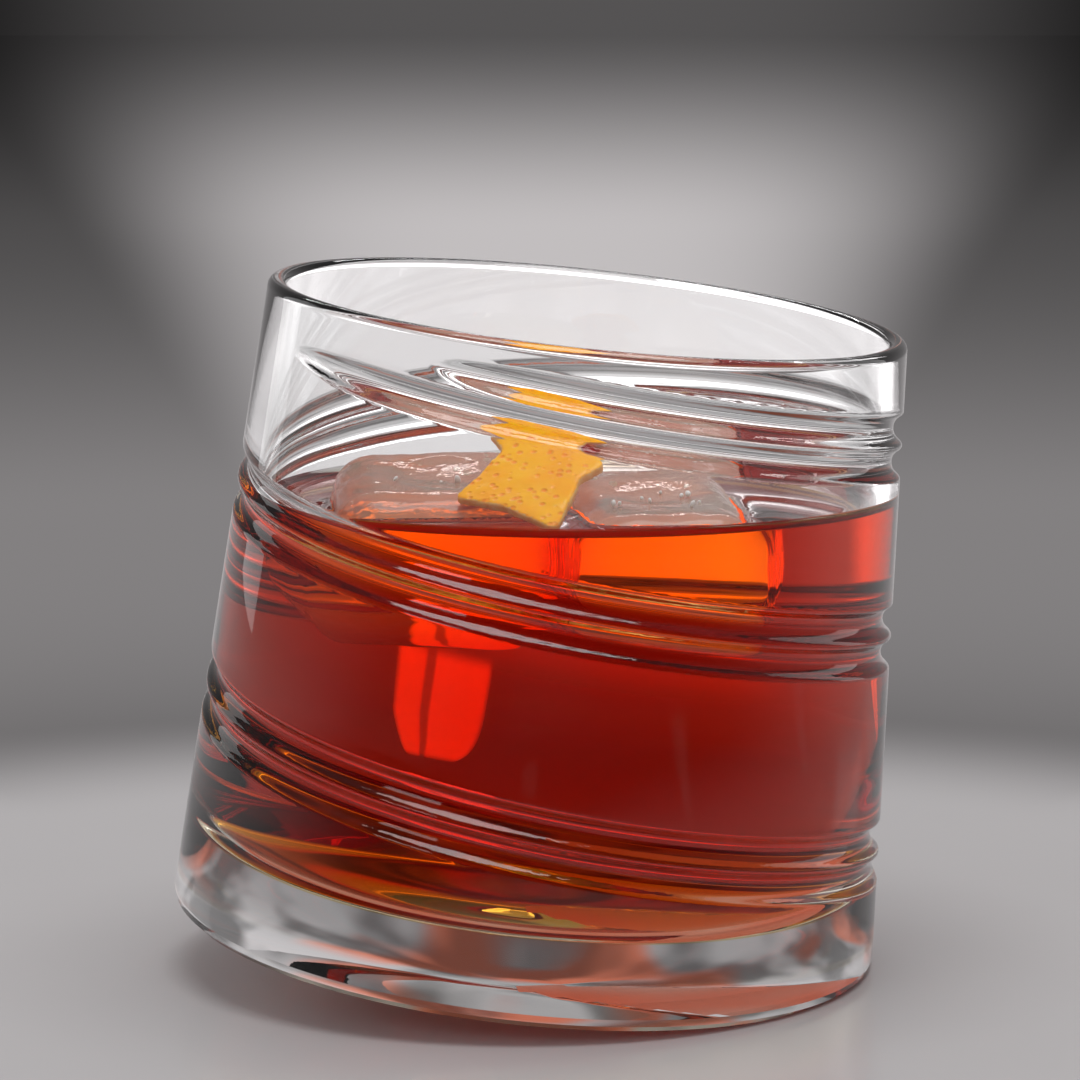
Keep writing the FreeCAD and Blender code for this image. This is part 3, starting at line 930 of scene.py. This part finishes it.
class NEGRONI_OT_ice(bpy.types.Operator):
    """Melt the two pieces of ice"""

    bl_idname = "negroni.ice"
    bl_label = "Ice"

    def execute(self, context):
        finishes = [ice_material("wet ice", False), ice_material("sunk ice", True)]
        for number, name in enumerate(("ice_left", "ice_right")):
            piece = self.melted(name, number)
            for finish in finishes:
                piece.data.materials.append(finish)
            split_at(piece, drink_level() + settings("drink").ice_meniscus)
            self.add_bubbles(piece, name, number)
            finish_piece(piece, name)
        return {"FINISHED"}

    def melted(self, name, number):
        """A block of ice with evenly sized faces, rounded and wavy from melting."""
        i = settings("ice")
        piece = copy_of_node(name, name.replace("_", ".") + ".block")
        apply_modifier(piece, "REMESH", mode="VOXEL", voxel_size=i.grain)
        apply_modifier(piece, "SMOOTH", factor=0.6, iterations=8)
        roughen(piece, (i.melt, 110), (0.25 * i.melt, 380), (number * 7.3, 1.7, 4.1))
        return piece

    def add_bubbles(self, piece, name, number):
        """Small air bubbles above the drink, drawn out upwards, each a hollow in the ice."""
        i = settings("ice")
        random = np.random.default_rng(41 + number)
        low, high = (np.array(corner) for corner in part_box(name))
        margin = np.array(BUBBLE_MARGIN)
        low[2] = drink_level() + MM
        bubbles = []
        for _ in range(i.bubbles):
            deselect()
            place = low + margin + (high - low - 2 * margin) * random.random(3)
            size = MM * (BUBBLE_LEAST + BUBBLE_SPREAD * random.random() ** 2)
            bpy.ops.mesh.primitive_ico_sphere_add(subdivisions=2, radius=size, location=place)
            bubble = bpy.context.object
            bubble.scale = (1, 1, 1 + BUBBLE_DRAWN * random.random())
            bubble.rotation_euler = (BUBBLE_TILT * random.standard_normal(),
                                     BUBBLE_TILT * random.standard_normal(), 0)
            bubbles.append(bubble)
        select_only(*reversed(bubbles))
        bpy.ops.object.join()
        bpy.ops.object.transform_apply(location=True, rotation=True, scale=True)
        open_mesh(bubbles[0])
        bpy.ops.mesh.flip_normals()
        close_mesh()
        select_only(bubbles[0], piece)
        bpy.ops.object.join()


class NEGRONI_OT_peel(bpy.types.Operator):
    """Cut the orange peel that lies on the ice"""

    bl_idname = "negroni.peel"
    bl_label = "Orange peel"

    def execute(self, context):
        p = settings("peel")
        peel = copy_of_node("orange_peel", "orange.peel")
        apply_modifier(peel, "REMESH", mode="VOXEL", voxel_size=p.grain)
        apply_modifier(peel, "SMOOTH", factor=0.5, iterations=3)
        roughen(peel, (0.16 * MM, 330), (0.07 * MM, 900))
        for finish in (zest_material(), pith_material()):
            peel.data.materials.append(finish)
        for face in peel.data.polygons:
            face.material_index = int(face.normal.z < SKIN_SLOPE)
        finish_piece(peel, "orange_peel")
        return {"FINISHED"}


# ---------------------------------------------------------------- drink

# the raised edge of the drink: rings this far in from the wall, in mm, the last one flat
MENISCUS_RINGS = (0.12, 0.28, 0.48, 0.72, 1.0, 1.35, 1.75, 2.3, 3.0, 4.0)
SURFACE_GAP = 0.04 * MM     # between the drink and its bare surface
ICE_GAP = 0.08 * MM         # between the ice and its hollow in the drink
HOLLOW_FROM = 30 * MM       # the ice and its hollows are higher than this
ICE_STEP = 0.3              # share of the step in index between drink and ice
ICE_CLIMB = 1.6             # how much faster the drink's rise dies away at the ice than at the wall
WALL_REACH, WALL_FACING = 0.3 * MM, 0.3     # a face this near the wall that looks at it lies against it
TOP_SLACK, TOP_SLOPE = 0.1 * MM, 0.2        # a face no lower than this that looks up is the top


class NEGRONI_OT_drink(bpy.types.Operator):
    """Fill the tumbler, round the ice"""

    bl_idname = "negroni.drink"
    bl_label = "Drink"

    def execute(self, context):
        t, d = settings("tumbler"), settings("drink")
        place, level = tumbler_place(), drink_level()
        drink = draw_outline("drink.filling", hollow_outline(d.wall_reach, t.wall_height))
        spin_outline(t.columns)
        place_mesh(drink, place)
        open_mesh(drink)
        bpy.ops.mesh.bisect(plane_co=(0, 0, level + d.meniscus), plane_no=(0, 0, 1), clear_outer=True)
        self.draw_meniscus(drink)
        bpy.ops.mesh.select_all(action="SELECT")
        bpy.ops.mesh.normals_make_consistent(inside=False)
        close_mesh()
        blocks = [bpy.data.objects[name] for name in ("ice.left.block", "ice.right.block")]
        for block in blocks:
            apply_modifier(drink, "BOOLEAN", operation="DIFFERENCE", solver="EXACT", object=block)
        self.climb(drink, blocks, level)
        for block in blocks:
            push_out(block, -ICE_GAP)
        drink.data.materials.clear()  # the cut has left the ice's finishes on it
        surface = self.bare_surface(drink, place, level)
        drink.data.materials.append(drink_material())
        finish_piece(drink, "drink")
        finish_piece(surface, "drink")
        return {"FINISHED"}

    def climb(self, drink, blocks, level):
        """The drink climbs a little up the ice."""
        d = settings("drink")
        trees = [BVHTree.FromPolygons([v.co for v in block.data.vertices],
                                      [face.vertices for face in block.data.polygons]) for block in blocks]
        points = points_of(drink)
        for index in np.flatnonzero(points[:, 2] > level - NEAR):
            near = min(tree.find_nearest(Vector(points[index]))[3] for tree in trees)
            points[index, 2] += d.ice_meniscus * math.exp(-near / d.meniscus_width * ICE_CLIMB)
        set_points(drink, points)

    def bare_surface(self, drink, place, level):
        """The top of the drink and its faces against the ice, a hair outside the drink itself."""
        d, i = settings("drink"), settings("ice")
        back = place.inverted()
        surface = bpy.data.objects.new("drink.surface", drink.data.copy())
        surface.data.name = "drink.surface"
        bpy.context.scene.collection.objects.link(surface)
        surface.data.materials.append(surface_material("drink to air", d.ior, 0.05))
        surface.data.materials.append(surface_material("drink to ice", 1 + ICE_STEP * (d.ior / i.ior - 1), 0.0))

        def against_glass(face):
            point = back @ face.calc_center_median()
            radius = math.hypot(point.x, point.y)
            outward = (Vector((point.x, point.y, 0)) / max(radius, 1e-9)).dot(back.to_3x3() @ face.normal)
            at_wall = radius > inner_radius(point.z) - WALL_REACH and outward > WALL_FACING
            return at_wall or face.calc_center_median().z < HOLLOW_FROM

        open_mesh(surface, "DESELECT")
        bpy.ops.mesh.select_mode(type="FACE")
        select_faces(surface, against_glass)
        bpy.ops.mesh.delete(type="FACE")
        close_mesh()
        for face in surface.data.polygons:
            on_top = face.center.z > level - TOP_SLACK and face.normal.z > TOP_SLOPE
            face.material_index = int(not on_top)
        push_out(surface, SURFACE_GAP)
        return surface

    def draw_meniscus(self, drink):
        """Rings from the open edge inwards that fall to the level, then a fine flat grid."""
        d = settings("drink")
        bpy.ops.mesh.select_mode(type="EDGE")
        bpy.ops.mesh.select_all(action="DESELECT")
        bpy.ops.mesh.select_non_manifold(extend=False, use_wire=False, use_boundary=True,
                                         use_multi_face=False, use_non_contiguous=False, use_verts=False)
        shape = bmesh.from_edit_mesh(drink.data)
        rim = [v.co.copy() for v in shape.verts if v.select]
        centre = sum(rim, Vector()) / len(rim)
        radius = sum((point - centre).length for point in rim) / len(rim)
        before, height = 0.0, d.meniscus
        for inset in MENISCUS_RINGS:
            flat = inset == MENISCUS_RINGS[-1]
            lower = 0.0 if flat else d.meniscus * math.exp(-inset * MM / d.meniscus_width)
            bpy.ops.mesh.extrude_edges_move(TRANSFORM_OT_translate={"value": (0, 0, lower - height)})
            ratio = (radius - inset * MM) / (radius - before * MM)
            bpy.ops.transform.resize(value=(ratio, ratio, 1), center_override=centre)
            before, height = inset, lower
        bpy.ops.mesh.fill_grid()
        bpy.ops.mesh.subdivide(number_cuts=1)


# ---------------------------------------------------------------- panel


class NEGRONI_PT_panel(bpy.types.Panel):
    """One button for each step, and the settings of each group"""

    bl_label = "Negroni"
    bl_idname = "NEGRONI_PT_panel"
    bl_space_type = "VIEW_3D"
    bl_region_type = "UI"
    bl_category = "Negroni"

    def draw(self, context):
        for operator in OPERATORS:
            self.layout.operator(operator.bl_idname)
        for name in GROUPS:
            box = self.layout.box()
            box.label(text=name.title())
            values = getattr(context.scene, name)
            for key in values.__annotations__:
                box.prop(values, key)


GROUPS = {"tumbler": TumblerSettings, "drink": DrinkSettings, "ice": IceSettings, "peel": PeelSettings,
          "stage": StageSettings}
OPERATORS = (NEGRONI_OT_stage, NEGRONI_OT_tumbler, NEGRONI_OT_ice, NEGRONI_OT_peel, NEGRONI_OT_drink)


def register():
    for kind in (*GROUPS.values(), *OPERATORS, NEGRONI_PT_panel):
        bpy.utils.register_class(kind)
    for name, kind in GROUPS.items():
        setattr(bpy.types.Scene, name, PointerProperty(type=kind))


def unregister():
    for name in GROUPS:
        delattr(bpy.types.Scene, name)
    for kind in (NEGRONI_PT_panel, *reversed(OPERATORS), *GROUPS.values()):
        bpy.utils.unregister_class(kind)


def main():
    register()
    bpy.ops.negroni.stage()
    bpy.ops.negroni.tumbler()
    bpy.ops.negroni.ice()
    bpy.ops.negroni.peel()
    bpy.ops.negroni.drink()


if __name__ == "__main__":
    main()
